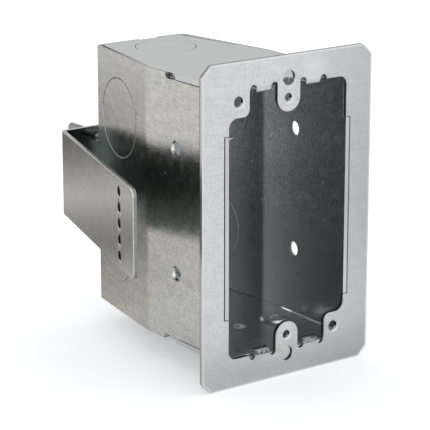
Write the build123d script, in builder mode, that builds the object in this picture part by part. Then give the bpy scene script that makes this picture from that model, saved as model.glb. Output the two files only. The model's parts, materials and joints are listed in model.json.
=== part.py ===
from build123d import *
import math
import os

# Masonry electrical box: a deep one gang box of folded galvanised sheet behind a
# front plate. Its side walls and back are one wrapped sheet, closed above and below
# by flat panels. A strip clamp stands behind the box on two long screws, which draw
# its flared leaf forward against the back of the wall that the box is set in.
#
# Millimetres. X runs to the right, Y back into the wall and Z up. The origin is the
# middle of the front plate's front face, which is also the middle of its screw holes.

# Sheet
sheet = 1.5
fold_radius = 0.5
wrap_bend_radius = 1.5

# Front plate
plate_width = 71.4
plate_height = 112.5
corner_cut = 3.6
corner_round = 1.6

# Box behind the plate
body_width = 52.6
body_height = 95.2
body_depth = 88.9
back_width = 38.4
taper_start = 46.2
taper_bend_radius = 16.0

# Seams between the wrapped sheet and the two panels
seam_gap = 0.28
panel_side_gap = 0.15
panel_corner_gap = 0.9
panel_back_gap = 0.2
panel_front_gap = 0.6
ear_length = 27.3
ear_corner_round = 1.2
top_relief_length = 4.9
bottom_relief_length = 6.6
relief_round = 1.2

# Locating tab of each panel in the top or bottom edge of the back
locating_tab_width = 7.0
locating_tab_offset = 3.5
locating_tab_short = 1.0
locating_tab_gap = 0.3

# Tabs of the side walls that come through the plate
wall_tab_height = 63.0
wall_tab_gap = 0.25
wall_tab_side_gap = 0.45

# Opening of the plate
opening_round = 3.0
lobe_width = 8.4
lobe_height = 8.65
lobe_round = 2.4
lobe_root_round = 3.4

# Device screws, 6-32, tapped in the middle tabs
device_pitch = 83.34
device_hole_radius = 1.45
device_hole_chamfer = 0.35
middle_tab_width = 9.5

# Cover screws, 8-32, tapped in the two lobes
cover_x = 20.65
cover_z = 42.7
cover_hole_radius = 1.8
cover_hole_chamfer = 0.45

# Plain holes of the plate, beyond the middle tabs
plate_hole_pitch = 96.84
plate_hole_radius = 2.6
screw_notch_radius = 3.5

# Folded tabs that carry the two panels
folded_tab_width = 6.0
folded_tab_centre = 10.4
folded_tab_length = 12.9
slit_width = 2.7
slit_rise = 1.7

# Plain holes in the side walls and the panels
side_hole_radius = 2.7
side_hole_depth = 28.5
side_hole_pitch = 44.4
panel_hole_radius = 2.4
panel_hole_depth = 27.0

# Knockouts, cut round and held by two ties
wall_knockout_radius = 14.4
upper_knockout_along = 22.8
upper_knockout_height = 24.9
lower_knockout_along = 26.8
lower_knockout_height = -22.4
panel_knockout_radius = 11.1
panel_knockout_depth = 72.0
knockout_cut = 0.25
tie_width = 2.6

# Raised seat of the ground screw in the floor, 10-32
ground_x = 15.0
ground_depth = 26.0
ground_seat_radius = 4.6
ground_seat_rise = 0.9
ground_seat_flare = 0.9
ground_hole_radius = 2.05

# Clamp strip
strip_width = 31.2
strip_bend_radius = 1.5
strip_corner_out = 9.7
clamp_gap = 7.6
leg_length = 22.6
leaf_length = 88.2
leaf_flare = 16.7
leaf_end_round = 3.0
leaf_hole_radius = 1.75
leaf_hole_pitch = 5.6
leaf_hole_count = 5
leaf_hole_from_end = 15.0

# Clamp screws, 6-32
clamp_screw_x = -13.2
clamp_screw_pitch = 22.8
clamp_screw_radius = 1.75
clamp_screw_length = 28.6
clamp_screw_point = 0.5
screw_head_radius = 3.1
screw_head_height = 2.3
screw_head_chamfer = 0.8
screw_slot_width = 1.0
screw_slot_depth = 1.1
thread_clearance = 0.08
screw_hole_clearance = 0.3

# Worked out from the sizes above
half_width = body_width / 2
half_height = body_height / 2
half_back = back_width / 2
inner_half_width = half_width - sheet
inner_half_height = half_height - sheet
inner_depth = body_depth - sheet
ear_end = sheet + panel_front_gap + ear_length
relief_ends = {1: ear_end + top_relief_length, -1: ear_end + bottom_relief_length}
lowered_edge = inner_half_height - seam_gap
taper_run = body_depth - taper_start
taper_in = half_width - half_back
through = 4 * sheet
knockout_centres = [
    (upper_knockout_along, upper_knockout_height),
    (lower_knockout_along, lower_knockout_height),
]
strip_corner_x = -half_back - strip_corner_out
strip_back = body_depth + clamp_gap + sheet


def upright_plane(x, side):
    """Plane across X at x. Its own x runs back, and its own y up, or down for side -1."""
    return Plane(origin=(x, 0, 0), x_dir=(0, 1, 0), z_dir=(side, 0, 0))


def facing_plane(y, x=0, z=0):
    """Plane across Y at y, on which a positive extrusion comes forward."""
    return Plane(origin=(x, y, z), x_dir=(1, 0, 0), z_dir=(0, -1, 0))


def corner_at(sketch, x, y):
    """Corner of a sketch that lies nearest to a point of its plane."""
    return sketch.vertices().sort_by_distance((x, y, 0))[0]


def knockout_ring(radius):
    """Ring cut of a knockout in the sketch in work, left whole at a tie on each side."""
    Circle(radius)
    Circle(radius - knockout_cut, mode=Mode.SUBTRACT)
    Rectangle(2 * radius + sheet, tie_width, mode=Mode.SUBTRACT)


def panel_blank():
    """Flat outline of the top or bottom panel, with its holes, in the sketch in work."""
    side = inner_half_width - panel_side_gap
    back = inner_depth - panel_back_gap
    back_side = half_back - sheet - panel_corner_gap
    front = sheet + panel_front_gap
    with BuildSketch() as blank:
        with BuildLine():
            Polyline(
                (-half_width, front),
                (-half_width, ear_end),
                (-side, ear_end),
                (-side, taper_start),
                (-back_side, back),
                (back_side, back),
                (side, taper_start),
                (side, ear_end),
                (half_width, ear_end),
                (half_width, front),
                close=True,
            )
        make_face()
        for across in (-1, 1):
            fillet(corner_at(blank, across * half_width, ear_end), radius=ear_corner_round)
            fillet(corner_at(blank, across * back_side, back), radius=wrap_bend_radius)
        tab_length = sheet + panel_back_gap - locating_tab_short
        with Locations((locating_tab_offset, back + tab_length / 2)):
            Rectangle(locating_tab_width, tab_length)
        with Locations((0, front)):
            Circle(screw_notch_radius, mode=Mode.SUBTRACT)
        with Locations((0, panel_hole_depth)):
            Circle(panel_hole_radius, mode=Mode.SUBTRACT)
    with BuildSketch() as ring:
        with Locations((0, panel_knockout_depth)):
            knockout_ring(panel_knockout_radius)
    return blank.sketch - ring.sketch


# Front plate

with BuildPart() as front_plate:
    with BuildSketch(Plane.XZ) as plate_outline:
        Rectangle(plate_width, plate_height)
        chamfer(plate_outline.vertices(), length=corner_cut)
        fillet(plate_outline.vertices(), radius=corner_round)
    extrude(amount=-sheet)

    # The opening: its two lobes stay, turned half round from each other
    lobe_side = inner_half_width - lobe_width
    lobe_edge = inner_half_height - lobe_height
    with BuildSketch(Plane.XZ) as opening:
        Rectangle(2 * inner_half_width, 2 * inner_half_height)
        lobe_x = inner_half_width - lobe_width / 2
        lobe_z = inner_half_height - lobe_height / 2
        with Locations((-lobe_x, lobe_z), (lobe_x, -lobe_z)):
            Rectangle(lobe_width, lobe_height, mode=Mode.SUBTRACT)
        for side in (-1, 1):
            edge = side * inner_half_width
            fillet(corner_at(opening, side * lobe_side, -side * lobe_edge), radius=lobe_round)
            fillet(corner_at(opening, edge, -side * lobe_edge), radius=lobe_root_round)
            fillet(corner_at(opening, edge, side * inner_half_height), radius=opening_round)
    extrude(amount=-sheet, mode=Mode.SUBTRACT)

    # Long recesses for the tabs of the side walls
    with BuildSketch(Plane.XZ):
        recess_depth = sheet + wall_tab_side_gap
        with Locations(*[(side * (inner_half_width + recess_depth / 2), 0) for side in (-1, 1)]):
            Rectangle(recess_depth, wall_tab_height + 2 * wall_tab_gap)
    extrude(amount=-sheet, mode=Mode.SUBTRACT)

    # Slits beside each folded tab, with round ends, and the fold between them
    slit_radius = slit_width / 2
    slit_x = [folded_tab_centre + step * (folded_tab_width + slit_width) / 2 for step in (-1, 1)]
    slit_centre = inner_half_height + slit_rise - slit_radius
    with BuildSketch(Plane.XZ):
        for up in (-1, 1):
            for side in (-1, 1):
                with Locations(*[(side * x, up * slit_centre) for x in slit_x]):
                    Circle(slit_radius)
                with Locations(*[(side * x, up * (slit_centre - slit_radius)) for x in slit_x]):
                    Rectangle(slit_width, 2 * slit_radius)
                with Locations((side * folded_tab_centre, up * inner_half_height)):
                    Rectangle(folded_tab_width, 2 * fold_radius)
    extrude(amount=-sheet, mode=Mode.SUBTRACT)

    # Folded tabs, which lie along the inner faces of the two panels
    fold_top = inner_half_height + slit_rise
    tab_face = inner_half_height - sheet
    for up in (-1, 1):
        for side in (-1, 1):
            with BuildSketch(upright_plane(side * folded_tab_centre, up)):
                with BuildLine():
                    FilletPolyline(
                        (0, fold_top),
                        (0, tab_face),
                        (folded_tab_length, tab_face),
                        radius=fold_radius + sheet,
                    )
                    FilletPolyline(
                        (sheet, fold_top),
                        (sheet, inner_half_height),
                        (folded_tab_length, inner_half_height),
                        radius=fold_radius,
                    )
                    Line((0, fold_top), (sheet, fold_top))
                    Line((folded_tab_length, tab_face), (folded_tab_length, inner_half_height))
                make_face()
            extrude(amount=folded_tab_width / 2, both=True)

    # Middle tabs for the device screws
    device_z = device_pitch / 2
    with BuildSketch(Plane.XZ):
        with Locations((0, device_z), (0, -device_z)):
            Circle(middle_tab_width / 2)
        tab_reach = fold_top - device_z
        with Locations(*[(0, up * (device_z + tab_reach / 2)) for up in (-1, 1)]):
            Rectangle(middle_tab_width, tab_reach)
    extrude(amount=-sheet)

    # Screw holes, tapped ones with a countersunk mouth
    with BuildSketch(Plane.XZ):
        with Locations((0, device_z), (0, -device_z)):
            Circle(device_hole_radius)
        with Locations((-cover_x, cover_z), (cover_x, -cover_z)):
            Circle(cover_hole_radius)
        with Locations((0, plate_hole_pitch / 2), (0, -plate_hole_pitch / 2)):
            Circle(plate_hole_radius)
    extrude(amount=-sheet, mode=Mode.SUBTRACT)
    hole_rims = front_plate.edges().filter_by(GeomType.CIRCLE).filter_by_position(Axis.Y, 0, 0)
    for radius, cut in ((device_hole_radius, device_hole_chamfer), (cover_hole_radius, cover_hole_chamfer)):
        chamfer([rim for rim in hole_rims if math.isclose(rim.radius, radius)], length=cut)

# Wrapped sheet: left wall, back and right wall

with BuildPart() as box_body:
    with BuildSketch(Plane.XY.offset(-half_height)) as wrap:
        with BuildLine():
            Polyline(
                (-half_width, -body_depth),
                (-half_width, taper_start),
                (-half_back, body_depth),
                (half_back, body_depth),
                (half_width, taper_start),
                (half_width, -body_depth),
                close=True,
            )
        make_face()
        for side in (-1, 1):
            fillet(corner_at(wrap, side * half_back, body_depth), radius=wrap_bend_radius + sheet)
            fillet(corner_at(wrap, side * half_width, taper_start), radius=taper_bend_radius + sheet)
        offset(amount=-sheet, mode=Mode.SUBTRACT)
    extrude(amount=body_height)
    split(bisect_by=facing_plane(0), keep=Keep.BOTTOM)

    # Front edges butt on the plate, but for the tabs that come through it
    with BuildSketch(Plane.XZ):
        Rectangle(body_width, body_height)
        Rectangle(body_width, wall_tab_height, mode=Mode.SUBTRACT)
    extrude(amount=-sheet, mode=Mode.SUBTRACT)

    # Lowered edges under the ears of the panels, with a relief behind the ears
    for up in (-1, 1):
        with BuildSketch(upright_plane(0, up)) as lowered:
            with BuildLine():
                Polyline(
                    (sheet, half_height + sheet),
                    (sheet, lowered_edge),
                    (relief_ends[up], lowered_edge),
                    (relief_ends[up], half_height + sheet),
                    close=True,
                )
            make_face()
            fillet(corner_at(lowered, relief_ends[up], lowered_edge), radius=relief_round)
        extrude(amount=half_width, both=True, mode=Mode.SUBTRACT)

    # Plain holes of the side walls
    with BuildSketch(Plane.YZ):
        with Locations((side_hole_depth, side_hole_pitch / 2), (side_hole_depth, -side_hole_pitch / 2)):
            Circle(side_hole_radius)
    extrude(amount=half_width, both=True, mode=Mode.SUBTRACT)

    # Knockouts of the tapered walls, the lower ones a little farther back
    for side in (-1, 1):
        tapered_wall = Plane(
            origin=(side * half_width, taper_start, 0),
            x_dir=(-side * taper_in, taper_run, 0),
            z_dir=(side * taper_run, taper_in, 0),
        )
        with BuildSketch(tapered_wall):
            with Locations(*[(along, side * height) for along, height in knockout_centres]):
                knockout_ring(wall_knockout_radius)
        extrude(amount=through / 2, both=True, mode=Mode.SUBTRACT)

    # Holes for the clamp screws, and notches for the panels' locating tabs
    with BuildSketch(facing_plane(body_depth)):
        with Locations(*[(clamp_screw_x, up * clamp_screw_pitch / 2) for up in (-1, 1)]):
            Circle(clamp_screw_radius + screw_hole_clearance)
        with Locations(*[(locating_tab_offset, up * half_height) for up in (-1, 1)]):
            Rectangle(locating_tab_width + 2 * locating_tab_gap, 2 * (sheet + locating_tab_gap))
    extrude(amount=through / 2, both=True, mode=Mode.SUBTRACT)

# Top and bottom panels

with BuildPart() as top_panel:
    with BuildSketch(Plane.XY.offset(inner_half_height)):
        add(panel_blank())
    extrude(amount=sheet)

with BuildPart() as bottom_panel:
    with BuildSketch(Plane.XY.offset(-half_height)):
        add(panel_blank())
    extrude(amount=sheet)

    # Seat of the ground screw, pressed up out of the floor
    seat_base = ground_seat_radius + ground_seat_flare
    for drop, mode, reduction in ((0, Mode.ADD, 0), (sheet, Mode.SUBTRACT, sheet / 2)):
        level = -inner_half_height - drop
        with BuildSketch(Plane.XY.offset(level)):
            with Locations((ground_x, ground_depth)):
                Circle(seat_base - reduction)
        with BuildSketch(Plane.XY.offset(level + ground_seat_rise)):
            with Locations((ground_x, ground_depth)):
                Circle(ground_seat_radius - reduction)
        loft(mode=mode)
    with BuildSketch(Plane.XY.offset(-half_height)):
        with Locations((ground_x, ground_depth)):
            Circle(ground_hole_radius)
    extrude(amount=through, mode=Mode.SUBTRACT)

# Clamp strip: a leg behind the box and a flared leaf beside it

flare = math.radians(leaf_flare)
leaf_run = Vector(-math.sin(flare), -math.cos(flare), 0)
strip_corner = Vector(strip_corner_x, strip_back, 0)

with BuildPart() as clamp_bracket:
    with BuildSketch(Plane.XY.offset(-strip_width / 2)):
        leg_line = strip_back - sheet / 2
        bend_half_turn = (math.pi / 2 - flare) / 2
        line_corner = Vector(strip_corner_x + sheet / 2 * math.tan(bend_half_turn), leg_line, 0)
        with BuildLine():
            FilletPolyline(
                (strip_corner_x + leg_length, leg_line),
                line_corner,
                line_corner + leaf_run * leaf_length,
                radius=strip_bend_radius + sheet / 2,
            )
        trace(line_width=sheet)
    extrude(amount=strip_width)

    # Rounded corners of the leaf's free end
    leaf_face = Plane(origin=strip_corner, x_dir=leaf_run, z_dir=(-math.cos(flare), math.sin(flare), 0))
    across_sheet = clamp_bracket.edges().filter_by(Axis((0, 0, 0), leaf_face.z_dir))
    fillet(across_sheet.sort_by(Axis.Y)[:2], radius=leaf_end_round)

    # Row of holes along which the end of the leaf bends
    with BuildSketch(leaf_face):
        with Locations((leaf_length - leaf_hole_from_end, 0)):
            with GridLocations(leaf_hole_pitch, leaf_hole_pitch, 1, leaf_hole_count):
                Circle(leaf_hole_radius)
    extrude(amount=through / 2, both=True, mode=Mode.SUBTRACT)

    # Tapped holes on the clamp screws
    with BuildSketch(facing_plane(strip_back)):
        with Locations(*[(clamp_screw_x, up * clamp_screw_pitch / 2) for up in (-1, 1)]):
            Circle(clamp_screw_radius + thread_clearance)
    extrude(amount=sheet, mode=Mode.SUBTRACT)


def clamp_screw(height):
    """One of the two clamp screws, its head against the inside of the back."""
    seat = facing_plane(inner_depth, clamp_screw_x, height)
    with BuildPart() as screw:
        with BuildSketch(seat):
            Circle(screw_head_radius)
        extrude(amount=screw_head_height)
        chamfer(screw.edges().sort_by(Axis.Y)[:1], length=screw_head_chamfer)
        with BuildSketch(seat.offset(screw_head_height)):
            Rectangle(2 * screw_head_radius, screw_slot_width)
        extrude(amount=-screw_slot_depth, mode=Mode.SUBTRACT)
        with BuildSketch(seat):
            Circle(clamp_screw_radius)
        extrude(amount=-clamp_screw_length)
        chamfer(screw.edges().sort_by(Axis.Y)[-1:], length=clamp_screw_point)
    return screw


upper_clamp_screw = clamp_screw(clamp_screw_pitch / 2)
lower_clamp_screw = clamp_screw(-clamp_screw_pitch / 2)

# One file for each piece

pieces = {
    "front_plate": front_plate,
    "box_body": box_body,
    "top_panel": top_panel,
    "bottom_panel": bottom_panel,
    "clamp_bracket": clamp_bracket,
    "upper_clamp_screw": upper_clamp_screw,
    "lower_clamp_screw": lower_clamp_screw,
}
os.makedirs("parts", exist_ok=True)
for name, piece in pieces.items():
    piece.part.label = name
    export_step(piece.part, f"parts/{name}.step")
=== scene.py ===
# %% [markdown]
# # A masonry electrical box, dressed for a photograph
#
# The box is folded from thin galvanised sheet, with a clamp strip beside it. Its shape
# is already packed as CAD nodes, in metres: X to the right, Y back into the wall, Z up.
# Here it gets what the CAD leaves plain: grained zinc surfaces, partly with painted light
# and shade, softened cut edges, screw threads, a floor, light and a camera.
#
# Blender opens with a default cube, lamp and camera. They would count as part of the
# object, so they go before the frame is loaded.

# %% Load the frame
import json
import math
import bmesh
import bpy
from mathutils import Matrix, Vector

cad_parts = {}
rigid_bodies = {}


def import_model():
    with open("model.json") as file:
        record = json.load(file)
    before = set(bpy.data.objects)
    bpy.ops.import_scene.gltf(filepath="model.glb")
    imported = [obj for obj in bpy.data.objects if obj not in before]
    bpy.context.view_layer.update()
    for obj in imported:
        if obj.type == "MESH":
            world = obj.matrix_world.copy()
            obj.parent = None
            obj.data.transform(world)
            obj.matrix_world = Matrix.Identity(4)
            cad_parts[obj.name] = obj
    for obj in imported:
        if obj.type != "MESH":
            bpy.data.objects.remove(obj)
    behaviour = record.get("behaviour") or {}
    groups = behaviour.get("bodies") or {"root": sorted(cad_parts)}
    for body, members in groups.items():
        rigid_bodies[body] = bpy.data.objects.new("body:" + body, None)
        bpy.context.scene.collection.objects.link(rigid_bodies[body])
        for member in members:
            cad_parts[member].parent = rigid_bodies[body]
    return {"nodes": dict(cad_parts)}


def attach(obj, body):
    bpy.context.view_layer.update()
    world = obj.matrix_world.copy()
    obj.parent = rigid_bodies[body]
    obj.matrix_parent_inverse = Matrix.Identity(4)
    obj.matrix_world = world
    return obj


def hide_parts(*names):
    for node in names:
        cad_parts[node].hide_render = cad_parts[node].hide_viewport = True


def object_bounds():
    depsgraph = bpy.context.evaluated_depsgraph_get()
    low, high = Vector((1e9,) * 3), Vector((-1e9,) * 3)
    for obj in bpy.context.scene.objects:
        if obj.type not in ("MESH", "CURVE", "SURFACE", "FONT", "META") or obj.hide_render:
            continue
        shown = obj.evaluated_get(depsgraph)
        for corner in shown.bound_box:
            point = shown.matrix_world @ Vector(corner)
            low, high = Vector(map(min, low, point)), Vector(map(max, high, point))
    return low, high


for leftover in list(bpy.data.objects):
    bpy.data.objects.remove(leftover)
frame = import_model()
nodes = frame["nodes"]
bpy.context.view_layer.update()
cad_box = [list(corner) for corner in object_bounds()]
mm = 0.001
x_axis, y_axis, z_axis = (1, 0, 0), (0, 1, 0), (0, 0, 1)
print("nodes:", sorted(nodes))
print("CAD box in mm:", [[round(value / mm, 2) for value in corner] for corner in cad_box])

# %% [markdown]
# ## The camera
#
# The photograph was taken from the left, from above, with a long lens. The place of
# a camera can be guessed and nudged, or solved from known points of the object. Here it
# was solved: the two device screw holes are a standard distance apart, and the
# corners of the plate and the box gave the rest. The camera looks down, so it is tilted
# and needs no shift, and other views stay centred.

# %% Place the camera
picture_width = 430
focal_pixels = 2053.3
turn = 0.6295
tilt = 0.2760
camera_place = Vector((-413.4, -525.7, 190.3)) * mm

camera_data = bpy.data.cameras.new("camera")
camera_data.sensor_width = 36
camera_data.lens = focal_pixels / picture_width * camera_data.sensor_width
camera_data.clip_start = 0.01
camera_data.clip_end = 20
camera = bpy.data.objects.new("camera", camera_data)
bpy.context.scene.collection.objects.link(camera)
look = Vector((math.sin(turn) * math.cos(tilt), math.cos(turn) * math.cos(tilt), -math.sin(tilt)))
camera.location = camera_place
camera.rotation_euler = look.to_track_quat("-Z", "Y").to_euler()
bpy.context.scene.camera = camera
print("lens", round(camera_data.lens, 1), "mm")

# %% [markdown]
# ## Node helpers
#
# A material is a small network of nodes. Written out, each node takes several lines, so
# short helpers keep the cells readable: they add a node and fill its sockets, link two
# sockets, do arithmetic, and turn a range of values into a soft step.

# %% Helpers for nodes


def add_node(tree, kind, settings=None, **sockets):
    """A new node. A socket whose name has spaces is given with underscores."""
    node = tree.nodes.new(kind)
    for name, value in (settings or {}).items():
        setattr(node, name, value)
    for name, value in sockets.items():
        put(tree, value, node.inputs[name.replace("_", " ")])
    return node


def put(tree, value, socket):
    """Link a socket to another, or set it to a plain value."""
    if isinstance(value, bpy.types.NodeSocket):
        tree.links.new(value, socket)
    else:
        socket.default_value = value


def calc(tree, operation, first, second=0.0, third=0.0, clamp=False):
    """The result of one step of arithmetic."""
    node = add_node(tree, "ShaderNodeMath", {"operation": operation, "use_clamp": clamp})
    for socket, value in zip(node.inputs, (first, second, third)):
        put(tree, value, socket)
    return node.outputs[0]


def vector_calc(tree, operation, first, second):
    """The node that does arithmetic on two places or directions."""
    node = add_node(tree, "ShaderNodeVectorMath", {"operation": operation})
    put(tree, first, node.inputs[0])
    put(tree, second, node.inputs[1])
    return node


def spread(tree, value, low, high, out_low=0.0, out_high=1.0):
    """A soft step: `out_low` up to `low`, and `out_high` from `high` on."""
    node = add_node(tree, "ShaderNodeMapRange", {"interpolation_type": "SMOOTHSTEP"})
    for socket, limit in zip(node.inputs, (value, low, high, out_low, out_high)):
        put(tree, limit, socket)
    return node.outputs["Result"]


def noise(tree, place, scale, detail=2.0, roughness=0.5):
    sockets = {"Vector": place, "Scale": scale, "Detail": detail, "Roughness": roughness}
    return add_node(tree, "ShaderNodeTexNoise", **sockets).outputs["Fac"]


# %% [markdown]
# ## Zinc grain
#
# Galvanised sheet is dipped in zinc, which freezes in fine crystals. From near, the
# surface is mottled: patches a few millimetres wide, a grain of about one millimetre,
# and finer facets inside it. One flat grey would look like plastic. All finishes share
# this effect at other sizes, so it is a node group, built once. It puts out a tone
# around one half, the patches alone for the roughness, and a height for the bump.

# %% Group: zinc grain
patch_tone, grain_tone, facet_tone = 0.3, 0.55, 0.15
facet_height = 0.12
facets_to_a_grain = 2.2


def new_group(name, inputs, outputs):
    """An empty node group, with the sockets that its inside reads and fills."""
    tree = bpy.data.node_groups.new(name, "ShaderNodeTree")
    for label, kind, value in inputs:
        socket = tree.interface.new_socket(label, in_out="INPUT", socket_type=kind)
        if value is not None:
            socket.default_value = value
    for label, kind in outputs:
        tree.interface.new_socket(label, in_out="OUTPUT", socket_type=kind)
    return tree, tree.nodes.new("NodeGroupInput").outputs, tree.nodes.new("NodeGroupOutput").inputs


zinc_grain, given, result = new_group(
    "zinc_grain",
    [
        ("Place", "NodeSocketVector", None),
        ("Patch per metre", "NodeSocketFloat", 260.0),
        ("Grain per metre", "NodeSocketFloat", 800.0),
    ],
    [("Tone", "NodeSocketFloat"), ("Patches", "NodeSocketFloat"), ("Height", "NodeSocketFloat")],
)
patches = noise(zinc_grain, given["Place"], given["Patch per metre"], detail=3.0, roughness=0.55)
grain = noise(zinc_grain, given["Place"], given["Grain per metre"], detail=3.0, roughness=0.6)
finer = calc(zinc_grain, "MULTIPLY", given["Grain per metre"], facets_to_a_grain)
crystals = add_node(zinc_grain, "ShaderNodeTexVoronoi", Vector=given["Place"], Scale=finer)
facets = add_node(zinc_grain, "ShaderNodeSeparateColor", Color=crystals.outputs["Color"]).outputs[0]
tone = calc(zinc_grain, "MULTIPLY_ADD", grain, grain_tone, calc(zinc_grain, "MULTIPLY", patches, patch_tone))
put(zinc_grain, calc(zinc_grain, "MULTIPLY_ADD", facets, facet_tone, tone), result["Tone"])
put(zinc_grain, patches, result["Patches"])
put(zinc_grain, calc(zinc_grain, "MULTIPLY_ADD", facets, facet_height, grain), result["Height"])
print("made group", zinc_grain.name)

# %% [markdown]
# ## Rolling lines
#
# Sheet comes from a roll, and the rollers leave faint lines along it. They could be
# drawn as waves, but waves are too even. Noise stretched along one direction, which a
# scale for each axis gives, looks like the real ones.

# %% Group: rolling lines
rolling_lines, given, result = new_group(
    "rolling_lines",
    [
        ("Place", "NodeSocketVector", None),
        ("Per metre", "NodeSocketVector", (40.0, 40.0, 1600.0)),
    ],
    [("Tone", "NodeSocketFloat"), ("Height", "NodeSocketFloat")],
)
stretched = vector_calc(rolling_lines, "MULTIPLY", given["Place"], given["Per metre"]).outputs[0]
lines = noise(rolling_lines, stretched, 1.0, detail=3.0, roughness=0.6)
put(rolling_lines, lines, result["Tone"])
put(rolling_lines, lines, result["Height"])
print("made group", rolling_lines.name)

# %% [markdown]
# ## Masks from the direction of a face
#
# Which faces are sheared edges, which lie inside the box and which look up is known
# from the direction that they face. One group answers all of these: it compares the
# face's direction with a given one, and gives 0 below one value and 1 above another.

# %% Group: faces along
faces_along, given, result = new_group(
    "faces_along",
    [
        ("Direction", "NodeSocketVector", (0.0, 0.0, 1.0)),
        ("Low", "NodeSocketFloat", 0.3),
        ("High", "NodeSocketFloat", 0.6),
    ],
    [("Mask", "NodeSocketFloat"), ("Either way", "NodeSocketFloat")],
)
outwards = add_node(faces_along, "ShaderNodeNewGeometry").outputs["True Normal"]
facing = vector_calc(faces_along, "DOT_PRODUCT", outwards, given["Direction"]).outputs["Value"]
put(faces_along, spread(faces_along, facing, given["Low"], given["High"]), result["Mask"])
turned = calc(faces_along, "ABSOLUTE", facing)
put(faces_along, spread(faces_along, turned, given["Low"], given["High"]), result["Either way"])
print("made group", faces_along.name)

# %% [markdown]
# ## The galvanised finishes
#
# All finishes are one recipe with other values: a metal whose colour, roughness and
# bump follow the grain and the rolling lines. Over it go layers, each a mask and a
# colour, such as the sheared edges, the painted light inside the box and the painted
# shade on the inner side of the clamp. An image could hold all this, but it would have to
# be painted again after each change of shape. A mask worked out from the place and the
# direction of a face needs no image, and a layer is a short function, so each piece takes
# only its own.

# %% Small parts of a finish
mix_first, mix_second, mix_result = 6, 7, 2  # the Mix node's sockets for colours


def mix_colour(tree, factor, first, second, blend="MIX"):
    node = add_node(tree, "ShaderNodeMix", {"data_type": "RGBA", "blend_type": blend})
    put(tree, factor, node.inputs["Factor"])
    put(tree, first, node.inputs[mix_first])
    put(tree, second, node.inputs[mix_second])
    return node.outputs[mix_result]


def facing_mask(tree, direction, low=0.3, high=0.6, either_way=False):
    """1 on the faces that look in a direction, or also against it."""
    settings = {"node_tree": faces_along}
    group = add_node(tree, "ShaderNodeGroup", settings, Direction=direction, Low=low, High=high)
    return group.outputs["Either way" if either_way else "Mask"]


def edge_mask(tree, flat_direction):
    """1 on the sheared edges of a sheet, whose two flat sides look along a direction."""
    return calc(tree, "SUBTRACT", 1.0, facing_mask(tree, flat_direction, 0.5, 0.8, either_way=True))


# %% Masks from the place on a piece


def along(tree, place, direction):
    """How far a place lies in a direction."""
    return vector_calc(tree, "DOT_PRODUCT", place, direction).outputs["Value"]


def from_middle(tree, place, direction):
    """How far a place lies from the middle plane, the same on both sides of it."""
    return calc(tree, "ABSOLUTE", along(tree, place, direction))


def distance(tree, *pairs):
    """Distance from a centre, of which each pair holds a coordinate and its value at the centre."""
    total = 0.0
    for value, centre in pairs:
        step = calc(tree, "SUBTRACT", value, centre)
        total = calc(tree, "MULTIPLY_ADD", step, step, total)
    return calc(tree, "SQRT", total)


def spot(tree, place, centre, radius):
    """1 at a centre, falling to 0 at the radius."""
    gap = vector_calc(tree, "DISTANCE", place, centre).outputs["Value"]
    return spread(tree, gap, 0.0, radius, 1.0, 0.0)


def within(tree, value, centre, reach, softness=0.1 * mm):
    """1 where a value lies no farther than `reach` from `centre`."""
    gap = calc(tree, "ABSOLUTE", calc(tree, "SUBTRACT", value, centre))
    return spread(tree, gap, reach - softness, reach + softness, 1.0, 0.0)


def both(tree, first, second):
    """1 where two masks are both 1."""
    return calc(tree, "MULTIPLY", first, second)


# %% Layers that any sheet can take
inside_grain_per_metre = 1100


def faces_in(direction, low, high, tint, either_way=False):
    """One tint on the faces that look in a direction."""

    def layer(tree, place, colour):
        return mix_colour(tree, facing_mask(tree, direction, low, high, either_way), colour, tint)

    return layer


def shade_in(direction, low, high, shade):
    """Painted shade: the same grain, darker, on the faces that look in a direction."""

    def layer(tree, place, colour):
        return mix_colour(tree, facing_mask(tree, direction, low, high), colour, shade, blend="MULTIPLY")

    return layer


def faces_towards(centre, lit_dark, lit_light, low_tone):
    """Painted light on the faces that look to an upright line through `centre`: a grain of their own, and a
    darker tone low down.
    """

    def layer(tree, place, colour):
        inwards = vector_calc(tree, "SUBTRACT", centre, place).outputs[0]
        level_mm = vector_calc(tree, "MULTIPLY", inwards, (1 / mm, 1 / mm, 0)).outputs[0]
        inside = facing_mask(tree, level_mm, 1.0, 3.0)
        fine_grain = spread(tree, noise(tree, place, inside_grain_per_metre, detail=3.0), 0.3, 0.7)
        # Painted light: a lighter grain on the inner faces.
        lit_inside = mix_colour(tree, fine_grain, lit_dark, lit_light)
        down = along(tree, place, (0, 0, -1))
        fading = spread(tree, down, 38 * mm, 50 * mm, 1.0, 0.2)
        low_share = both(tree, spread(tree, down, 4 * mm, 26 * mm), fading)
        return mix_colour(tree, inside, colour, mix_colour(tree, low_share, lit_inside, low_tone))

    return layer


# %% [markdown]
# The front plate has a painted highlight, a brighter spot beside its upper hole, and a
# painted highlight along its rim, where the shears bent its edge. Painted shade makes it a
# little darker to the lower right, away from the light. A sheared edge is clean where the
# punch cut it and torn behind, where the sheet broke, with painted shade where it looks up,
# and the outside of the plate's lower folds is crazed.

# %% Sizes of the front plate, as the CAD has them
plate_side = cad_box[1][0]
plate_top = cad_box[1][2]
sheet = 1.5 * mm
corner_cut = 3.6 * mm
tab_x, tab_half_width = 10.4 * mm, 3.0 * mm
fold_low, fold_high = 44.4 * mm, 47.9 * mm
bend_z, bend_reach = -45.6 * mm, 1.1 * mm
print("plate in mm:", round(2 * plate_side / mm, 1), "x", round(2 * plate_top / mm, 1))

# %% Layers of the front plate
# Centre and radius of the painted highlight beside the upper hole.
highlight_centre, highlight_radius = (11 * mm, 0, 50 * mm), 8 * mm
torn_per_metre = 900


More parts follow.
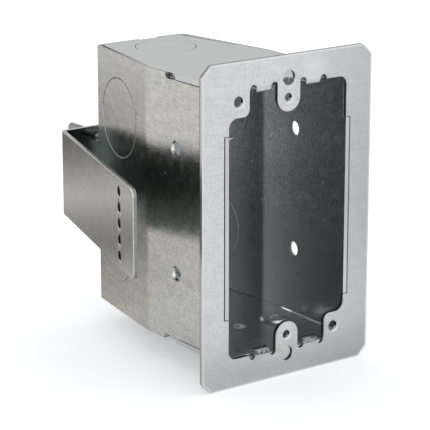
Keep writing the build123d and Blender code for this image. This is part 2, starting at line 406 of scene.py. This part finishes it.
def plate_highlight_and_shade(tree, place, colour):
    # Painted highlight: a brighter spot beside the upper hole.
    highlight_spot = calc(tree, "MULTIPLY", spot(tree, place, highlight_centre, highlight_radius), 0.6)
    colour = mix_colour(tree, highlight_spot, colour, (0.95, 0.95, 0.95, 1))
    # Painted shade: darker to the lower right, away from the light.
    to_right = spread(tree, along(tree, place, x_axis), -5 * mm, 45 * mm, 0.0, 0.52)
    to_bottom = spread(tree, along(tree, place, (0, 0, -1)), 35 * mm, 56 * mm, 0.0, 0.42)
    return mix_colour(tree, calc(tree, "ADD", to_right, to_bottom), colour, (0.45, 0.455, 0.465, 1))


def rim_gap(tree, place):
    """Distance from the plate's outer edge, measured inwards."""
    side_gap = calc(tree, "SUBTRACT", plate_side, from_middle(tree, place, x_axis))
    top_gap = calc(tree, "SUBTRACT", plate_top, from_middle(tree, place, z_axis))
    across = calc(tree, "SUBTRACT", calc(tree, "ADD", side_gap, top_gap), corner_cut)
    corner_gap = calc(tree, "MULTIPLY", across, math.sqrt(0.5))
    return calc(tree, "MINIMUM", calc(tree, "MINIMUM", side_gap, top_gap), corner_gap)


def painted_rim_highlight(tree, place, colour):
    # Painted highlight along the rim, where the shears bent the edge.
    rim = spread(tree, rim_gap(tree, place), 0.2 * mm, 0.9 * mm, 0.7, 0.0)
    return mix_colour(tree, rim, colour, (0.98, 0.98, 0.98, 1))


def sheared_edges(tree, place, colour):
    """Clean in front and torn behind, later on the rim, with painted shade wherever an edge looks up."""
    x = from_middle(tree, place, x_axis)
    y = along(tree, place, y_axis)
    z = from_middle(tree, place, z_axis)
    fold_middle, fold_reach = (fold_low + fold_high) / 2, (fold_high - fold_low) / 2
    fold = both(tree, within(tree, x, tab_x, tab_half_width), within(tree, z, fold_middle, fold_reach))
    behind = spread(tree, y, sheet + 0.05 * mm, sheet + 0.15 * mm)
    flat = facing_mask(tree, y_axis, 0.5, 0.8, either_way=True)
    no_edge = calc(tree, "MAXIMUM", flat, calc(tree, "MAXIMUM", fold, behind))
    ragged = calc(tree, "MULTIPLY_ADD", noise(tree, place, torn_per_metre), 0.2 * mm, y)
    longer_cut = spread(tree, rim_gap(tree, place), 0.3 * mm, 0.8 * mm, 0.7 * mm, 0.0)
    tear = spread(tree, calc(tree, "SUBTRACT", ragged, longer_cut), 0.45 * mm, 0.7 * mm)
    # Painted shade: the edges that look up are darkened along with the torn part.
    upward = facing_mask(tree, z_axis, 0.2, 0.6)
    torn = calc(tree, "MULTIPLY_ADD", upward, 0.6, tear, clamp=True)
    edge = mix_colour(tree, torn, (0.62, 0.605, 0.58, 1), (0.14, 0.135, 0.13, 1))
    return mix_colour(tree, no_edge, edge, colour)


def crazed_folds(tree, place, colour):
    """Fine cracks where the zinc stretched, on the outside of the lower folds."""
    across = within(tree, from_middle(tree, place, x_axis), tab_x, tab_half_width)
    low_down = within(tree, along(tree, place, z_axis), bend_z, bend_reach)
    in_front = spread(tree, along(tree, place, y_axis), 2.0 * mm, 2.3 * mm, 1.0, 0.0)
    bend = both(tree, across, both(tree, low_down, in_front))
    cracks = spread(tree, noise(tree, place, torn_per_metre, detail=3.0), 0.40, 0.52)
    crazed = mix_colour(tree, cracks, (0.12, 0.12, 0.125, 1), (0.36, 0.365, 0.37, 1))
    return mix_colour(tree, bend, colour, crazed)


# %% [markdown]
# The plate has four tapped holes. Modelled threads this small would cost many faces, and a
# bump does little in a bore that is seen at a steep angle. So colour and roughness tell of
# the thread: the bores are rough, with painted shade in them and a painted highlight where
# they look up towards the light. A painted highlight also marks the raised lip, which the
# tap left, round each of them.

# %% Layers of the tapped holes
device_z, device_radius = 41.67 * mm, 1.45 * mm
cover_x, cover_z, cover_radius = -20.65 * mm, 42.7 * mm, 1.8 * mm
print("device holes are", round(2 * device_z / mm, 2), "mm apart")


def tapped_hole_gap(tree, place):
    """How far a point is outside the nearest tapped hole: below 0 in its bore."""
    x = along(tree, place, x_axis)
    z = along(tree, place, z_axis)
    height = calc(tree, "ABSOLUTE", z)
    turned_x = calc(tree, "MULTIPLY", x, calc(tree, "SIGN", z))
    device = calc(tree, "SUBTRACT", distance(tree, (x, 0.0), (height, device_z)), device_radius)
    cover = calc(tree, "SUBTRACT", distance(tree, (turned_x, cover_x), (height, cover_z)), cover_radius)
    return calc(tree, "MINIMUM", device, cover)


def tapped_bores(tree, place, colour):
    gap = tapped_hole_gap(tree, place)
    # Painted highlight on the raised lip round each hole.
    lip = spread(tree, gap, 0.15 * mm, 0.55 * mm, 0.8, 0.0)
    colour = mix_colour(tree, lip, colour, (0.97, 0.97, 0.97, 1))
    # Painted highlight where the bore looks up towards the light, and painted shade elsewhere in it.
    lit = facing_mask(tree, (-0.6, 0, 0.8), 0.72, 0.88)
    thread = mix_colour(tree, lit, (0.03, 0.03, 0.03, 1), (1.0, 1.0, 0.99, 1))
    return mix_colour(tree, spread(tree, gap, 0.0, 0.04 * mm, 1.0, 0.0), colour, thread)


def rough_bores(tree, place, reach):
    """The roughness of the tapped bores, whose threads scatter light from all round."""
    return spread(tree, tapped_hole_gap(tree, place), 0.0, reach, 1.0, 0.0)


# %% [markdown]
# The box body has plain holes in its side walls and knockouts in its tapered walls. A
# knockout is held by two ties, and a thin cut runs round the rest of it. Painted light
# makes the left wall's holes and part of each cut bright, and painted shade makes them
# dark elsewhere. On the inner side, a rough burr beside each cut catches light from the
# opening. The outside of the tapered walls and of the back has painted shade, the inner
# faces have painted light, and the back inside and the relief notches behind the panels'
# ears have painted shade.

# %% Sizes of the box body, as the CAD has them
wall_hole_y, wall_hole_z, wall_hole_radius = 28.5 * mm, 22.2 * mm, 2.7 * mm
knockout_radius = 14.4 * mm
cut_radius = knockout_radius - 0.12 * mm
knockout_middles = (
    (22.56 * mm, 68.69 * mm, 24.9 * mm),
    (21.90 * mm, 72.64 * mm, -22.4 * mm),
)
notch_y, notch_reach, notch_low = 31.85 * mm, 2.5 * mm, 45.5 * mm
print("knockouts on each side:", len(knockout_middles), "with radius in mm:", round(knockout_radius / mm, 1))

# %% Layers of the box body


def lit_and_shaded_bores(tree, place, colour):
    """The bores of the wall holes: painted light at the back on the left wall, and painted shade in front of
    it and on the right one.
    """
    y = along(tree, place, y_axis)
    reach = distance(tree, (y, wall_hole_y), (from_middle(tree, place, z_axis), wall_hole_z))
    near = spread(tree, reach, wall_hole_radius, wall_hole_radius + 0.05 * mm, 1.0, 0.0)
    right_wall = spread(tree, along(tree, place, x_axis), 0.0, 1 * mm)
    front_half = spread(tree, y, wall_hole_y - 1.6 * mm, wall_hole_y + 0.6 * mm, 0.8, 0.0)
    shadow = calc(tree, "MAXIMUM", right_wall, front_half)
    bore = mix_colour(tree, shadow, (0.85, 0.86, 0.87, 1), (0.12, 0.115, 0.11, 1))
    return mix_colour(tree, near, colour, bore)


def knockout_line(tree, place, half_width):
    """1 on the cuts round the knockouts."""
    x = from_middle(tree, place, x_axis)
    y = along(tree, place, y_axis)
    z = along(tree, place, z_axis)
    line = 0.0
    for middle_x, middle_y, middle_z in knockout_middles:
        reach = distance(tree, (x, middle_x), (y, middle_y), (z, middle_z))
        ring = within(tree, reach, cut_radius, half_width, softness=0.05 * mm)
        line = calc(tree, "MAXIMUM", line, ring)
    return line


def knockout_cuts(tree, place, colour):
    """Each cut has painted shade above, where the eye looks into it, and a painted highlight low down at the
    back and on the right side.
    """
    y = along(tree, place, y_axis)
    z = along(tree, place, z_axis)
    dark, bright = 0.0, 0.0
    for middle in knockout_middles:
        own = within(tree, z, middle[2], knockout_radius + 1 * mm)
        rise = calc(tree, "SUBTRACT", z, middle[2])
        back = calc(tree, "SUBTRACT", y, middle[1])
        low_back = calc(tree, "MULTIPLY_ADD", rise, -0.8, calc(tree, "MULTIPLY", back, 0.6))
        dark = calc(tree, "MULTIPLY_ADD", own, spread(tree, rise, 1 * mm, 6 * mm), dark)
        bright = calc(tree, "MULTIPLY_ADD", own, spread(tree, low_back, 1 * mm, 8 * mm), bright)
    lower_cut = mix_colour(tree, bright, (0.16, 0.165, 0.16, 1), (0.98, 0.98, 0.97, 1))
    left_cut = mix_colour(tree, dark, lower_cut, (0.15, 0.15, 0.14, 1))
    right_side = spread(tree, along(tree, place, x_axis), -1 * mm, 1 * mm)
    cut = mix_colour(tree, right_side, left_cut, (0.95, 0.95, 0.94, 1))
    return mix_colour(tree, knockout_line(tree, place, 0.13 * mm), colour, cut)


def shaded_back(tree, place, colour):
    """Painted shade on the inner side of the back, darker than the walls."""
    inner = facing_mask(tree, (0, -1, 0), 0.9, 0.95)
    back = spread(tree, along(tree, place, y_axis), 70 * mm, 75 * mm)
    return mix_colour(tree, both(tree, inner, back), colour, (0.52, 0.55, 0.55, 1))


def shaded_notches(tree, place, colour):
    """Painted shade in the relief notches behind the folded ears, seen into from outside."""
    across = within(tree, along(tree, place, y_axis), notch_y, notch_reach)
    at_seam = spread(tree, from_middle(tree, place, z_axis), notch_low, notch_low + 0.1 * mm)
    notch = both(tree, edge_mask(tree, x_axis), both(tree, across, at_seam))
    return mix_colour(tree, notch, colour, (0.10, 0.105, 0.105, 1))


# %% [markdown]
# The panels have a knockout each. Its thin cut is a dark line, broken at two ties. The
# inner side of the lower panel, the floor of the box, has painted light, brighter than the walls round it.

# %% Layers of the panels
panel_knockout_y, panel_knockout_radius = 72 * mm, 11.1 * mm


def panel_cut(tree, place, colour):
    x, y = along(tree, place, x_axis), along(tree, place, y_axis)
    reach = distance(tree, (x, 0.0), (y, panel_knockout_y))
    ring = within(tree, reach, panel_knockout_radius - 0.12 * mm, 0.16 * mm)
    return mix_colour(tree, calc(tree, "MULTIPLY", ring, 0.6), colour, (0.30, 0.30, 0.30, 1))


def lit_inner_floor(tree, place, colour):
    # Painted light: the floor of the box, which looks up, is brighter.
    upward = facing_mask(tree, z_axis, 0.3, 0.6)
    below = spread(tree, along(tree, place, z_axis), -1 * mm, 1 * mm, 1.0, 0.0)
    return mix_colour(tree, both(tree, upward, below), colour, (0.88, 0.90, 0.905, 1))


# %% [markdown]
# The inner side of the clamp, which faces the box, has painted shade. The small holes of its
# leaf are seen at a steep angle, so of each only the far wall shows: painted shade, with
# painted light on the part that looks up. The screws have painted shade in the roots of their thread.

# %% Sizes of the clamp and its screws, as the CAD has them
leaf_flare = math.radians(16.7)
leaf_out = (-math.cos(leaf_flare), math.sin(leaf_flare), 0)
leaf_run = (-math.sin(leaf_flare), -math.cos(leaf_flare), 0)
leaf_outer = 55.85 * mm
leaf_hole_y, leaf_hole_pitch = 27.9 * mm, 5.6 * mm
clamp_screw_x, clamp_screw_z = -13.2 * mm, 11.4 * mm
thread_crest, thread_root = 1.74 * mm, 1.38 * mm
print("leaf flares by", round(math.degrees(leaf_flare), 1), "degrees")

# %% Layers of the clamp and its screws
leaf_torn_per_metre = 700


def leaf_edges(tree, place, colour):
    """The leaf's sheared edges: a light line outside, and torn and dark behind it towards the free end."""
    depth = calc(tree, "SUBTRACT", leaf_outer, along(tree, place, leaf_out))
    edge = both(tree, edge_mask(tree, leaf_out), within(tree, depth, 0.8 * mm, 1.6 * mm))
    ragged = calc(tree, "MULTIPLY_ADD", noise(tree, place, leaf_torn_per_metre), 0.7 * mm, depth)
    free_part = spread(tree, along(tree, place, y_axis), 60 * mm, 95 * mm, 1.0, 0.15)
    torn = both(tree, spread(tree, ragged, 0.6 * mm, 0.9 * mm), free_part)
    end_face = facing_mask(tree, leaf_run, 0.2, 0.5)
    tear = mix_colour(tree, end_face, (0.01, 0.012, 0.012, 1), (0.30, 0.305, 0.295, 1))
    return mix_colour(tree, edge, colour, mix_colour(tree, torn, (0.66, 0.655, 0.63, 1), tear))


def leaf_bores(tree, place, colour):
    """The five bores: painted shade, with a painted highlight on a lip low in each."""
    y = along(tree, place, y_axis)
    z = along(tree, place, z_axis)
    height = calc(tree, "ABSOLUTE", z)
    row = both(tree, within(tree, y, leaf_hole_y, 2.4 * mm), within(tree, height, 0.0, 13.8 * mm))
    bore = both(tree, edge_mask(tree, leaf_out), row)
    colour = mix_colour(tree, bore, colour, (0.05, 0.052, 0.05, 1))
    height_in_hole = calc(tree, "WRAP", z, leaf_hole_pitch / 2, -leaf_hole_pitch / 2)
    narrowed_y = calc(tree, "MULTIPLY", calc(tree, "SUBTRACT", y, leaf_hole_y - 0.8 * mm), 0.4)
    reach = distance(tree, (narrowed_y, 0.0), (height_in_hole, -1.85 * mm))
    lip = spread(tree, reach, 0.55 * mm, 0.75 * mm, 1.0, 0.0)
    lip = both(tree, lip, within(tree, height, 0.0, 14.4 * mm))
    return mix_colour(tree, lip, colour, (1.0, 1.0, 0.99, 1))


def shaded_roots(tree, place, colour):
    x = along(tree, place, x_axis)
    z = from_middle(tree, place, z_axis)
    reach = distance(tree, (x, clamp_screw_x), (z, clamp_screw_z))
    # Painted shade in the roots of the thread, between the raised crests.
    raised = spread(tree, reach, thread_root + 0.02 * mm, thread_crest - 0.02 * mm)
    return mix_colour(tree, raised, (0.06, 0.06, 0.06, 1), colour)


# %% [markdown]
# The recipe puts the grain, the lines and the layers together. Where metal was torn or
# threaded, a mask of its own makes it fully rough. The base colour of a metal is what it
# reflects, so it is pale even where the sheet looks grey.

# %% Recipe for a metal finish
grain_share = 0.8
tone_low, tone_high = 0.36, 0.64
line_height = 0.3
relief_depth = 0.03 * mm
rough_reach = 0.25 * mm


def metal_finish(name, dark, light, rough, patch, grain, lines, bump, layers, rough_mask=None, uneven=0.16):
    """Zinc between a dark and a light tone. Patch, grain and lines are counted per metre."""
    finish = bpy.data.materials.new(name)
    finish.use_nodes = True
    tree = finish.node_tree
    shader = tree.nodes["Principled BSDF"]
    shader.inputs["Metallic"].default_value = 1.0
    place = add_node(tree, "ShaderNodeTexCoord").outputs["Object"]
    sizes = {"Patch_per_metre": patch, "Grain_per_metre": grain}
    zinc = add_node(tree, "ShaderNodeGroup", {"node_tree": zinc_grain}, Place=place, **sizes)
    rolled = add_node(tree, "ShaderNodeGroup", {"node_tree": rolling_lines}, Place=place, Per_metre=lines)
    line_tone = calc(tree, "MULTIPLY", rolled.outputs["Tone"], 1 - grain_share)
    tone = calc(tree, "MULTIPLY_ADD", zinc.outputs["Tone"], grain_share, line_tone)
    colour = mix_colour(tree, spread(tree, tone, tone_low, tone_high), dark, light)
    for layer in layers:
        colour = layer(tree, place, colour)
    put(tree, colour, shader.inputs["Base Color"])
    roughness = calc(tree, "MULTIPLY_ADD", zinc.outputs["Patches"], uneven, rough - uneven / 2)
    if rough_mask:
        roughness = calc(tree, "MAXIMUM", roughness, rough_mask(tree, place, rough_reach))
    put(tree, roughness, shader.inputs["Roughness"])
    height = calc(tree, "MULTIPLY_ADD", rolled.outputs["Height"], line_height, zinc.outputs["Height"])
    relief = add_node(tree, "ShaderNodeBump", Height=height, Strength=bump, Distance=relief_depth)
    put(tree, relief.outputs["Normal"], shader.inputs["Normal"])
    return finish


# %% Finish of the front plate
plate_zinc = metal_finish(
    "plate_zinc", dark=(0.70, 0.705, 0.71, 1), light=(0.86, 0.865, 0.87, 1),
    rough=0.34, patch=220, grain=1100, lines=(60, 60, 700), bump=0.8,
    layers=[plate_highlight_and_shade, painted_rim_highlight, sheared_edges, crazed_folds, tapped_bores], rough_mask=rough_bores,
)
print("made", plate_zinc.name)

# %% Finish of the box body
box_middle = (0, 45 * mm, 0)
# Painted light: the inner faces are lighter than the outside of the box, and darker low down.
inside_dark = (0.59, 0.61, 0.61, 1)
inside_light = (0.81, 0.835, 0.84, 1)
inside_low = (0.61, 0.625, 0.625, 1)
# Painted shade on the outside of the tapered walls and of the back.
left_and_back, right_and_back = (-0.6, 0.8, 0), (0.6, 0.8, 0)
taper_shade = (0.86, 0.84, 0.82, 1)
box_zinc = metal_finish(
    "box_zinc", dark=(0.50, 0.495, 0.465, 1), light=(0.745, 0.74, 0.705, 1),
    rough=0.24, patch=300, grain=1400, lines=(60, 60, 500), bump=1.0,
    layers=[
        faces_in((0, -1, 0), 0.5, 0.8, (0.74, 0.745, 0.75, 1)),
        faces_in(z_axis, 0.5, 0.8, (0.45, 0.44, 0.42, 1), either_way=True),
        shade_in(left_and_back, 0.61, 0.71, taper_shade),
        shade_in(right_and_back, 0.61, 0.71, taper_shade),
        faces_towards(box_middle, inside_dark, inside_light, inside_low),
        shaded_back,
        lit_and_shaded_bores,
        knockout_cuts,
        shaded_notches,
    ],
    rough_mask=knockout_line,
)
print("made", box_zinc.name)

# %% Finishes of the panels, the clamp and the screws
panel_zinc = metal_finish(
    "panel_zinc", dark=(0.65, 0.66, 0.66, 1), light=(0.68, 0.69, 0.69, 1),
    rough=0.28, patch=240, grain=1500, lines=(500, 60, 60), bump=0.03, uneven=0.04,
    layers=[faces_in(z_axis, 0.3, 0.6, (0.67, 0.68, 0.68, 1)), lit_inner_floor, panel_cut],
)
# Painted shade on the inner side of the clamp, which faces the box.
clamp_inwards = (0.9, -0.43, 0)
strip_zinc = metal_finish(
    "strip_zinc", dark=(0.62, 0.615, 0.59, 1), light=(0.76, 0.75, 0.72, 1),
    rough=0.17, patch=120, grain=900, lines=(60, 60, 900), bump=0.3,
    layers=[faces_in(clamp_inwards, 0.25, 0.4, (0.20, 0.265, 0.26, 1)), leaf_edges, leaf_bores],
)
screw_zinc = metal_finish(
    "screw_zinc", dark=(0.40, 0.405, 0.40, 1), light=(0.56, 0.565, 0.56, 1),
    rough=0.25, patch=400, grain=1600, lines=(900, 60, 60), bump=0.3, layers=[shaded_roots],
)
coats = {
    "front_plate": plate_zinc,
    "box_body": box_zinc,
    "top_panel": panel_zinc,
    "bottom_panel": panel_zinc,
    "clamp_bracket": strip_zinc,
}
for name, coat in coats.items():
    nodes[name].data.materials.clear()
    nodes[name].data.materials.append(coat)
    print(name, "has", coat.name)

# %% [markdown]
# ## Softened edges
#
# No punched sheet has a perfectly sharp edge: it catches a thin line of light. A
# modifier changes only what is shown, and leaves the nodes' meshes as they are. Weld
# joins the loose triangles, and Bevel rounds every sharp edge by about a twentieth of a
# millimetre. Its loop slide is off, because it would pull a thin crease over the
# flat of the plate. The long triangles would then shade unevenly, so Weighted Normal
# gives each corner the direction of its largest face.

# %% Round the sheared edges
soft_width = 0.06 * mm
sharp_from = math.radians(35)


def soften(piece):
    weld = piece.modifiers.new("join_faces", "WELD")
    weld.merge_threshold = 0.002 * mm
    bevel = piece.modifiers.new("soft_edges", "BEVEL")
    bevel.width = soft_width
    bevel.segments = 2
    bevel.limit_method = "ANGLE"
    bevel.angle_limit = sharp_from
    bevel.use_clamp_overlap = False
    bevel.loop_slide = False
    level = piece.modifiers.new("level_shading", "WEIGHTED_NORMAL")
    level.mode = "FACE_AREA"
    level.weight = 100


for name in coats:
    soften(nodes[name])
print("softened", len(coats), "pieces")

# %% [markdown]
# ## The clamp screws
#
# Each clamp screw is a long 6-32 machine screw. A thread is a groove that
# climbs by one pitch in each turn, so one tooth of it, spun about the screw's axis
# while it moves along, makes the whole thread. The teeth of neighbouring turns meet
# and are merged. The shank is then trimmed to its length, closed and tapered at its tip.

# %% Screw sizes, as the CAD has them
seat_y = 87.4 * mm
shank_length = 28.6 * mm
pitch = 25.4 / 32 * mm
tip_taper = 0.5 * mm
thread_steps = 20
head_radius, head_height = 3.05 * mm, 2.25 * mm
head_steps = 40
slot_depth, slot_half_width = 0.85 * mm, 0.5 * mm
print("turns of thread:", round(shank_length / pitch, 1))

# %% Helpers for meshes
smooth_below = math.radians(40)


def once_each(parts):
    """The parts without repeats, in an order that stays the same from run to run."""
    return list(dict.fromkeys(parts))


def profile_edges(mesh, points):
    corners = [mesh.verts.new(point) for point in points]
    return [mesh.edges.new(pair) for pair in zip(corners, corners[1:])]


def spin_edges(mesh, edges, centre, angle, steps, climb=0.0):
    """Spin edges about an axis along Y, climbing along it on the way, or else closing the ring."""
    parts = edges + once_each(corner for edge in edges for corner in edge.verts)
    rise = Vector(y_axis) * climb / steps
    bmesh.ops.spin(
        mesh, geom=parts, cent=centre, axis=y_axis, dvec=rise, angle=angle, steps=steps, use_merge=not climb
    )


def finish_piece(name, mesh, coat, body):
    bmesh.ops.remove_doubles(mesh, verts=mesh.verts, dist=0.0005 * mm)
    bmesh.ops.recalc_face_normals(mesh, faces=mesh.faces)
    data = bpy.data.meshes.new(name)
    mesh.to_mesh(data)
    mesh.free()
    data.materials.append(coat)
    data.shade_smooth()
    data.set_sharp_from_angle(angle=smooth_below)
    piece = bpy.data.objects.new(name, data)
    bpy.context.scene.collection.objects.link(piece)
    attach(piece, body)
    print(name, "faces:", len(data.polygons))
    return piece


# %% Shank with a rolled thread
tooth = (  # radius, and how far along as a share of the pitch
    (thread_root, 0.0), (thread_root, 0.10), (thread_crest, 0.45), (thread_crest, 0.62), (thread_root, 1.0),
)


def threaded_shank(mesh, x, z, low_y, high_y):
    turns = math.ceil((high_y - low_y) / pitch) + 2
    start = low_y - pitch
    edges = profile_edges(mesh, [(x + radius, start + share * pitch, z) for radius, share in tooth])
    spin_edges(mesh, edges, (x, start, z), turns * math.tau, turns * thread_steps, turns * pitch)
    bmesh.ops.remove_doubles(mesh, verts=mesh.verts, dist=0.002 * mm)
    for end, outward in ((low_y, -1), (high_y, 1)):
        everything = mesh.verts[:] + mesh.edges[:] + mesh.faces[:]
        cut = {"plane_co": (x, end, z), "plane_no": (0, outward, 0)}
        bmesh.ops.bisect_plane(mesh, geom=everything, clear_outer=True, **cut)
        open_edges = [edge for edge in mesh.edges if edge.is_boundary]
        rim = [edge for edge in open_edges if abs(edge.verts[0].co.y - end) < 0.001 * mm]
        bmesh.ops.holes_fill(mesh, edges=rim, sides=0)
    for corner in mesh.verts:
        reach = Vector((corner.co.x - x, 0, corner.co.z - z))
        allowed = thread_crest - max(0.0, corner.co.y - (high_y - tip_taper))
        if reach.length > allowed:
            corner.co -= reach * (1 - allowed / reach.length)


# %% [markdown]
# The head is a round one with a slot: an outline from the middle of the top to the
# seat, spun once round. Two cuts across it mark the slot, and the
# faces between them are pushed down. A boolean would do as well, but this keeps clean edges.

# %% Slotted head
crown = (  # share of the radius, and drop in mm
    (0.0, 0.0), (0.55, 0.04), (0.80, 0.30), (0.95, 0.80), (1.0, 1.5),
)


def slotted_head(mesh, x, z, seat):
    top = seat - head_height
    slot_floor = top + slot_depth
    outline = [(x + share * head_radius, top + drop * mm, z) for share, drop in crown]
    outline += [(x + head_radius, seat, z), (x, seat, z)]
    spin_edges(mesh, profile_edges(mesh, outline), (x, seat, z), math.tau, head_steps)
    bmesh.ops.remove_doubles(mesh, verts=mesh.verts, dist=0.001 * mm)
    bmesh.ops.recalc_face_normals(mesh, faces=mesh.faces)
    for side in (-1, 1):
        upper = [face for face in mesh.faces if face.calc_center_median().y < slot_floor]
        parts = upper + once_each(part for face in upper for part in face.verts[:] + face.edges[:])
        cut_place = (x, top, z + side * slot_half_width)
        bmesh.ops.bisect_plane(mesh, geom=parts, plane_co=cut_place, plane_no=z_axis)
    upper = [face for face in mesh.faces if face.calc_center_median().y < slot_floor]
    strip = [face for face in upper if abs(face.calc_center_median().z - z) < slot_half_width]
    for pushed in bmesh.ops.extrude_face_region(mesh, geom=strip)["geom"]:
        if isinstance(pushed, bmesh.types.BMVert):
            pushed.co.y = slot_floor
    bmesh.ops.delete(mesh, geom=[face for face in strip if face.is_valid], context="FACES_ONLY")


# %% Whole screws
for name, side in (("upper_clamp_screw", 1), ("lower_clamp_screw", -1)):
    shape = bmesh.new()
    threaded_shank(shape, clamp_screw_x, side * clamp_screw_z, seat_y, seat_y + shank_length)
    slotted_head(shape, clamp_screw_x, side * clamp_screw_z, seat_y)
    screw = finish_piece(name + "_threaded", shape, screw_zinc, name)
    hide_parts(name)

# %% [markdown]
# ## Floor and light
#
# The photograph has a white background and very soft light from all round, with a soft
# shadow under the box. A lamp would make hard highlights, so the whole world is the
# light: white for what the camera and the metal see, and a little dimmer as light. The
# floor is pale and glows slightly to the camera, so that it joins the background.

# %% The floor
floor_level = cad_box[0][2]
shape = bmesh.new()
bmesh.ops.create_grid(shape, x_segments=1, y_segments=1, size=3.0)
bmesh.ops.translate(shape, verts=shape.verts, vec=(0, 0, floor_level))
floor_data = bpy.data.meshes.new("floor")
shape.to_mesh(floor_data)
shape.free()
floor = bpy.data.objects.new("floor", floor_data)
bpy.context.scene.collection.objects.link(floor)
pale = bpy.data.materials.new("pale_floor")
pale.use_nodes = True
tree = pale.node_tree
paint = tree.nodes["Principled BSDF"]
paint.inputs["Base Color"].default_value = (0.95, 0.95, 0.95, 1)
paint.inputs["Roughness"].default_value = 0.9
paint.inputs["Specular IOR Level"].default_value = 0.1
paint.inputs["Emission Color"].default_value = (1, 1, 1, 1)
to_camera = add_node(tree, "ShaderNodeLightPath").outputs["Is Camera Ray"]
put(tree, calc(tree, "MULTIPLY", to_camera, 0.3), paint.inputs["Emission Strength"])
floor_data.materials.append(pale)
print("floor at", round(floor_level / mm, 2), "mm")

# %% [markdown]
# ## Cards
#
# Bare metal shows what stands around it, and in a white room it has no shape. A
# photographer sets up grey cards, which the metal mirrors. Where a card has to stand is
# found by mirroring the line of sight at the face that it is for: behind the box for the
# leaf, behind to the left for the left wall, in front to the right for the plate, and
# high up behind to the right for the top panel. The leaf mirrors streaks, so its card has
# bands. Only the metal sees the cards.

# %% Cloth of a card


def card_cloth(name, tint, bands):
    """A plain glow, or bands along Y, each a place and a tone, that run into each other."""
    cloth = bpy.data.materials.new(name)
    cloth.use_nodes = True
    tree = cloth.node_tree
    tree.nodes.clear()
    glow = add_node(tree, "ShaderNodeEmission", Color=tint + (1,), Strength=1.0)
    if bands:
        nearest, farthest = bands[0][0], bands[-1][0]
        place = add_node(tree, "ShaderNodeTexCoord").outputs["Object"]
        ramp = add_node(tree, "ShaderNodeValToRGB")
        stops = ramp.color_ramp.elements
        for count, (back, tone) in enumerate(bands):
            share = (back - nearest) / (farthest - nearest)
            mark = stops[count] if count < 2 else stops.new(share)
            mark.position = share
            mark.color = tuple(tone * part for part in tint) + (1,)
        span = add_node(tree, "ShaderNodeMapRange")
        for socket, value in zip(span.inputs, (along(tree, place, y_axis), nearest, farthest)):
            put(tree, value, socket)
        put(tree, span.outputs["Result"], ramp.inputs["Fac"])
        put(tree, ramp.outputs["Color"], glow.inputs["Color"])
    output = add_node(tree, "ShaderNodeOutputMaterial")
    put(tree, glow.outputs[0], output.inputs[0])
    return cloth


# %% Cards that only the metal sees


def card(name, centre, width, height, faces, tint, bands=()):
    shape = bmesh.new()
    bmesh.ops.create_grid(shape, x_segments=1, y_segments=1, size=0.5)
    bmesh.ops.scale(shape, verts=shape.verts, vec=(width, height, 1))
    aim = Vector(faces).to_track_quat("Z", "Y").to_matrix().to_4x4()
    bmesh.ops.transform(shape, verts=shape.verts, matrix=Matrix.Translation(Vector(centre)) @ aim)
    data = bpy.data.meshes.new(name)
    shape.to_mesh(data)
    shape.free()
    data.materials.append(card_cloth(name + "_cloth", tint, bands))
    flag = bpy.data.objects.new(name, data)
    bpy.context.scene.collection.objects.link(flag)
    flag.visible_camera = False
    flag.visible_diffuse = False
    flag.visible_shadow = False
    print(name, "at", [round(value, 2) for value in centre])


card_level = floor_level + 1 * mm
leaf_bands = (
    (0.09, 0.64), (0.14, 0.52), (0.185, 0.24), (0.22, 0.30),
    (0.265, 0.56), (0.31, 0.36), (0.36, 0.16), (0.50, 0.14),
)
card("card_behind", (-0.035, 0.295, card_level), 0.13, 0.41, z_axis, (1.0, 0.99, 0.955), leaf_bands)
card("card_left", (-0.225, 0.225, card_level), 0.25, 0.45, z_axis, (0.80, 0.79, 0.77))
card("card_in_front", (0.26, -0.16, card_level), 0.29, 0.22, z_axis, (0.62, 0.62, 0.62))
card("card_right", (0.55, 0.80, 0.28), 0.9, 0.5, (-0.6, -0.8, -0.3), (0.66, 0.66, 0.66))

# %% The world
world = bpy.data.worlds.new("studio")
bpy.context.scene.world = world
world.use_nodes = True
tree = world.node_tree
tree.nodes.clear()
rays = add_node(tree, "ShaderNodeLightPath").outputs
seen = calc(tree, "ADD", rays["Is Camera Ray"], rays["Is Glossy Ray"])
seen = calc(tree, "ADD", seen, rays["Is Transmission Ray"], clamp=True)
soft = add_node(tree, "ShaderNodeBackground", Color=(0.95, 0.97, 1.0, 1), Strength=0.9)
white = add_node(tree, "ShaderNodeBackground", Color=(1, 1, 1, 1), Strength=1.0)
by_ray = add_node(tree, "ShaderNodeMixShader")
for socket, value in zip(by_ray.inputs, (seen, soft.outputs[0], white.outputs[0])):
    put(tree, value, socket)
output = add_node(tree, "ShaderNodeOutputWorld")
put(tree, by_ray.outputs[0], output.inputs[0])
print("world is white to camera and metal")

# %% The look of the picture
bpy.context.scene.view_settings.view_transform = "Standard"
bpy.context.view_layer.update()
